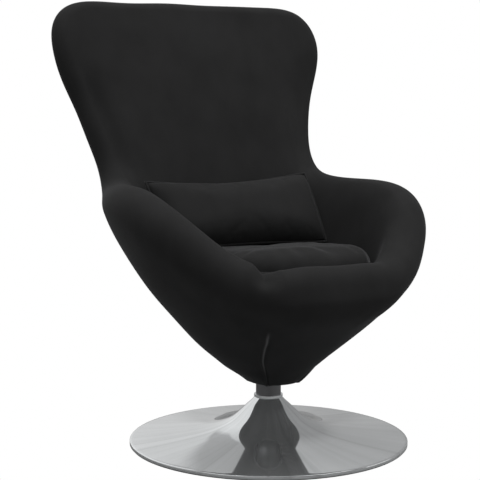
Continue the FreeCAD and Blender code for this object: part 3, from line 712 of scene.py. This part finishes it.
class Shader(Nodes):
    """A material under way: its main shader and the nodes that feed it."""

    def __init__(self, name, **constants):
        self.material = bpy.data.materials.new(name)
        self.material.use_nodes = True
        super().__init__(self.material.node_tree)
        self.surface = self.tree.nodes["Principled BSDF"]
        for socket, value in constants.items():
            self.surface.inputs[socket.replace("_", " ")].default_value = value

    def place(self):
        """The place on the object, in its own coordinates."""
        return self.node("ShaderNodeTexCoord").outputs["Object"]

    def noise(self, scale, detail, roughness=0.5, stretch=(1, 1, 1)):
        """Noise over the object's own place, so many waves to the metre."""
        place = self.node("ShaderNodeMapping", {}, {"Vector": self.place(), "Scale": stretch})
        values = {"Vector": place.outputs[0], "Scale": scale, "Detail": detail, "Roughness": roughness}
        made = self.node("ShaderNodeTexNoise", {}, values)
        return Value(self, made.outputs[0])

    def streaks(self, scale, detail=3.0):
        """Noise over the direction from the axis alone, so that it runs out along the radii."""
        flat = self.node("ShaderNodeVectorMath", {"operation": "MULTIPLY"}, {0: self.place(), 1: (1, 1, 0)})
        way = self.node("ShaderNodeVectorMath", {"operation": "NORMALIZE"}, {0: flat.outputs[0]})
        values = {"Vector": way.outputs[0], "Scale": scale, "Detail": detail}
        made = self.node("ShaderNodeTexNoise", {}, values)
        return Value(self, made.outputs[0])

    def stored(self, name):
        """A value that the mesh carries at its points."""
        made = self.node("ShaderNodeAttribute", {"attribute_name": name})
        return Value(self, made.outputs["Fac"])

    def colour(self, dark, light, amount):
        """A colour between dark and light by an amount."""
        values = {0: amount, 6: (*dark, 1), 7: (*light, 1)}
        made = self.node("ShaderNodeMix", {"data_type": "RGBA"}, values)
        self.feed(self.surface.inputs["Base Color"], made.outputs[2])

    def bump(self, height, distance, strength):
        """Raises the surface by a height, through its normal alone."""
        values = {"Height": height, "Distance": distance, "Strength": strength}
        made = self.node("ShaderNodeBump", {}, values)
        self.feed(self.surface.inputs["Normal"], made.outputs[0])


# How many times the plain nap's range the colour goes up where a highlight is painted along a seam
HIGHLIGHT_RANGE = 8


def velvet(name, base, sheen, painted_seam_highlight=False):
    """Short-pile velvet: a dark ground, a soft sheen at grazing angles, a brushed nap and a fine grain.

    The colour goes from 0.45 to 1.55 of the base by half of each noise, and beyond that in a painted
    highlight along the seams.
    """
    shader = Shader(name, Roughness=0.9, Sheen_Weight=sheen, Sheen_Roughness=0.25)
    shader.surface.inputs["Sheen Tint"].default_value = (0.95, 0.96, 1.0, 1)
    shader.surface.inputs["Specular IOR Level"].default_value = 0.2
    brushed = shader.noise(20, 2.0, 0.5, (1, 1, 0.6))
    fine = shader.noise(900, 2.0, 0.6)
    amount = brushed * 0.5 + fine * 0.5
    # Painted highlight: the stored seam value lightens the colour in a thin line along each seam
    if painted_seam_highlight:
        amount = amount + shader.stored("seam_highlight") * 6.0
    ground = [c * 0.45 for c in base]
    shader.colour(ground, [c * (0.45 + HIGHLIGHT_RANGE * 1.1) for c in base], amount * (1 / HIGHLIGHT_RANGE))
    shader.bump(fine, 0.0006, 0.5)
    return shader.material


def polished(name, dark, light, roughness):
    """Polished plate: broad and thin streaks out along its radii, faint clouds, and a little dust."""
    shader = Shader(name, Roughness=roughness, Metallic=0.80)
    thin = shader.clamp((shader.streaks(15, 1.0) - 0.60) * 9.0)
    shader.colour(dark, light, shader.streaks(7) * 0.7 + shader.noise(6, 2.0) * 0.3 - thin * 0.22)
    return shader.material


def satin_metal(name, colour, roughness, stretch):
    """Metal with fine turned or drawn lines that shift its roughness."""
    shader = Shader(name, Roughness=roughness, Metallic=1.0)
    shader.surface.inputs["Base Color"].default_value = (*colour, 1)
    lines = shader.noise(60, 2.0, 0.5, stretch)
    shader.feed(shader.surface.inputs["Roughness"], lines * 0.12 + (roughness - 0.06))
    shader.bump(lines, 0.00002, 0.4)
    return shader.material


def grained_wood(name):
    """Birch: long pale grain across the board and thin layers on its edge."""
    shader = Shader(name, Roughness=0.6)
    grain = shader.noise(14, 4.0, 0.6, (1, 9, 30))
    shader.colour((0.36, 0.24, 0.13), (0.52, 0.38, 0.23), grain)
    shader.bump(grain, 0.0002, 0.4)
    return shader.material


def grained(name, colour, roughness, scale, depth, spread=0.2):
    """A matt piece with a fine even grain in colour and surface."""
    shader = Shader(name, Roughness=roughness)
    grain = shader.noise(scale, 3.0, 0.6)
    shader.colour([c * (1 - spread) for c in colour], [c * (1 + spread) for c in colour], grain)
    shader.bump(grain, depth, 0.6)
    return shader.material


SHELL_COLOUR = (0.0158, 0.0158, 0.0160)
CUSHION_COLOUR = (0.0170, 0.0170, 0.0172)

MATERIALS = {
    # The shell's velvet carries the painted seam highlight
    "shell_velvet": velvet("shell_velvet", SHELL_COLOUR, 0.06, painted_seam_highlight=True),
    "cushion_velvet": velvet("cushion_velvet", CUSHION_COLOUR, 0.20),
    "pillow_velvet": velvet("pillow_velvet", CUSHION_COLOUR, 0.06),
    "deck_foam": grained("deck_foam", (0.55, 0.53, 0.48), 0.9, 500, 0.0004),
    "zip_tape": grained("zip_tape", (0.015, 0.015, 0.016), 0.8, 900, 0.0002),
    "hem_trim": grained("hem_trim", (0.02, 0.02, 0.021), 0.6, 700, 0.0001),
    "plywood": grained_wood("plywood"),
    "polished_base": polished("polished_base", (0.555, 0.575, 0.580), (0.93, 0.95, 0.965), 0.04),
    "column_steel": satin_metal("column_steel", (0.16, 0.16, 0.165), 0.32, (1, 1, 40)),
    "black_plate": grained("black_plate", (0.02, 0.02, 0.02), 0.5, 1400, 0.00008),
    "turned_steel": satin_metal("turned_steel", (0.5, 0.5, 0.51), 0.3, (1, 1, 60)),
    "zinc_fasteners": satin_metal("zinc_fasteners", (0.55, 0.55, 0.56), 0.35, (1, 1, 20)),
    "bearing_plastic": grained("bearing_plastic", (0.75, 0.74, 0.7), 0.45, 300, 0.00005, 0.05),
    "black_rubber": grained("black_rubber", (0.02, 0.02, 0.02), 0.75, 800, 0.0002),
}


def dress(piece, slot, material=None):
    """Gives a piece its material, the slot's own unless named."""
    piece.data.materials.clear()
    piece.data.materials.append(MATERIALS[material or slot])


NODE_SLOTS = {
    "floor_ring": "black_rubber",
    "base_plate": "black_plate",
    "column_bolt": "zinc_fasteners",
    "column_plug": "turned_steel",
    "column_tube": "column_steel",
    "collar_ring": "polished_base",
    "column_sleeve": "bearing_plastic",
    "thrust_washer": "bearing_plastic",
    "spindle": "turned_steel",
    "retaining_clip": "zinc_fasteners",
    "mount_plate": "black_plate",
    "plate_bolts": "zinc_fasteners",
    "seat_board": "plywood",
    "deck_pad": "deck_foam",
    "cushion_zip": "zip_tape",
}
for node_name, slot_name in NODE_SLOTS.items():
    dress(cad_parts[node_name], slot_name)

dress(shell, "shell_velvet")
dress(cushion, "cushion_velvet")
dress(pillow, "cushion_velvet", "pillow_velvet")
dress(pillow_piping, "cushion_velvet")
dress(trumpet, "polished_base")
dress(hem_gather, "hem_trim")

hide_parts("seat_shell")
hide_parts("seat_cushion")
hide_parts("lumbar_pillow")
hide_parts("base_trumpet")
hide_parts("hem_ring")
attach(shell, "seat")
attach(hem_gather, "seat")
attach(cushion, "cushion")
for piece in (pillow, pillow_piping):
    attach(piece, "pillow")
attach(trumpet, "base")


# Floor, light and camera


def stage_floor():
    """A floor that the camera sees as the plain white surround, and mirrors and bounced light see as grey."""
    size = 12.0
    corners = [(-size, -size, 0), (size, -size, 0), (size, size, 0), (-size, size, 0)]
    floor = mesh_object("stage_floor", corners, [(0, 1, 2, 3)], flat=True)
    shader = Shader("stage_floor", Roughness=0.9)
    shader.surface.inputs["Base Color"].default_value = (0.3, 0.3, 0.3, 1)
    ray = shader.node("ShaderNodeLightPath").outputs["Is Camera Ray"]
    glow = shader.node("ShaderNodeEmission", {}, {"Color": (1, 1, 1, 1), "Strength": 1.0})
    values = {0: ray, 1: shader.surface.outputs[0], 2: glow.outputs[0]}
    mixed = shader.node("ShaderNodeMixShader", {}, values)
    shader.feed(shader.tree.nodes["Material Output"].inputs["Surface"], mixed.outputs[0])
    floor.data.materials.append(shader.material)


def surround():
    """An uneven studio: white to the camera, brightest overhead to cloth, and to metal brighter on the left.

    Cloth sees 0.215 and 0.86 times the square of the direction's height. Metal sees less to the right, less
    behind the camera, a grey panel high on the left and a slightly darker horizon.
    """
    world = bpy.data.worlds.new("surround")
    world.use_nodes = True
    bpy.context.scene.world = world
    nodes = Nodes(world.node_tree)
    way = nodes.node("ShaderNodeTexCoord").outputs["Generated"]
    split = nodes.node("ShaderNodeSeparateXYZ", {}, {0: way})
    x, y, z = [Value(nodes, split.outputs[i]) for i in range(3)]
    above = nodes.clamp(z)
    cloth = above * above * 0.86 + 0.215
    leftward = x * -0.866 + y * 0.5
    onward = x * 0.5 + y * 0.866
    sideways = nodes.clamp(0.39 + leftward * 1.86) * 0.7 + 0.3
    metal = sideways * nodes.clamp(0.35 + nodes.clamp(onward + 0.4))
    grey_panel = nodes.between(z, 0.40, 0.62, 0.03) * nodes.between(leftward, 0.0, 0.25, 0.05)
    horizon = nodes.between(z, -0.3, 0.13, 0.05)
    metal = metal * (1.0 - grey_panel * 0.38 - horizon * 0.16)
    path = nodes.node("ShaderNodeLightPath").outputs
    seen = Value(nodes, path["Is Camera Ray"])
    glossy = Value(nodes, path["Is Glossy Ray"])
    strength = cloth + glossy * (metal - cloth)
    strength = strength + seen * (1.0 - strength)
    background = nodes.tree.nodes["Background"]
    nodes.feed(background.inputs["Strength"], strength)
    background.inputs["Color"].default_value = (1, 1, 1, 1)


def softbox(name, place, target, width, height, power):
    """A rectangular soft light at a place, aimed at a target."""
    data = bpy.data.lights.new(name, "AREA")
    data.shape = "RECTANGLE"
    data.size, data.size_y = width, height
    data.energy = power
    lamp = bpy.data.objects.new(name, data)
    bpy.context.collection.objects.link(lamp)
    lamp.location = place
    lamp.rotation_euler = (Vector(target) - Vector(place)).to_track_quat("-Z", "Y").to_euler()


def photo_camera():
    """The camera that took the photo, as fitted: its place, its small turn and tilt and its focal length."""
    yaw, pitch = math.radians(-1.28), math.radians(6.23)
    onward, right = Vector((0.5, math.sqrt(0.75), 0)), Vector((math.sqrt(0.75), -0.5, 0))
    level = onward * math.cos(yaw) + right * math.sin(yaw)
    forward = level * math.cos(pitch) - Vector((0, 0, 1)) * math.sin(pitch)
    data = bpy.data.cameras.new("photo_camera")
    focal_pixels, photo_pixels = 1295.04, 480
    data.sensor_width = data.sensor_height = 36.0
    data.lens = 36.0 * focal_pixels / photo_pixels
    data.clip_end = 60
    camera = bpy.data.objects.new("photo_camera", data)
    bpy.context.collection.objects.link(camera)
    camera.location = (-1.375, -2.38157, 0.73882)
    camera.rotation_euler = forward.to_track_quat("-Z", "Y").to_euler()
    bpy.context.scene.camera = camera


stage_floor()
surround()
softbox("top_light", (0.3, -0.2, 3.2), (0, 0, 0.5), 2.6, 2.6, 46)
softbox("right_light", (3.2, -1.4, 0.9), (0, 0, 0.5), 2.0, 2.0, 8)
softbox("left_light", (-2.4, -0.8, 2.3), (0, 0, 0.5), 1.6, 1.6, 7)
softbox("front_light", (1.6, -3.2, 1.8), (0, 0, 0.6), 2.0, 2.0, 16)
photo_camera()
bpy.context.scene.view_settings.view_transform = "Standard"
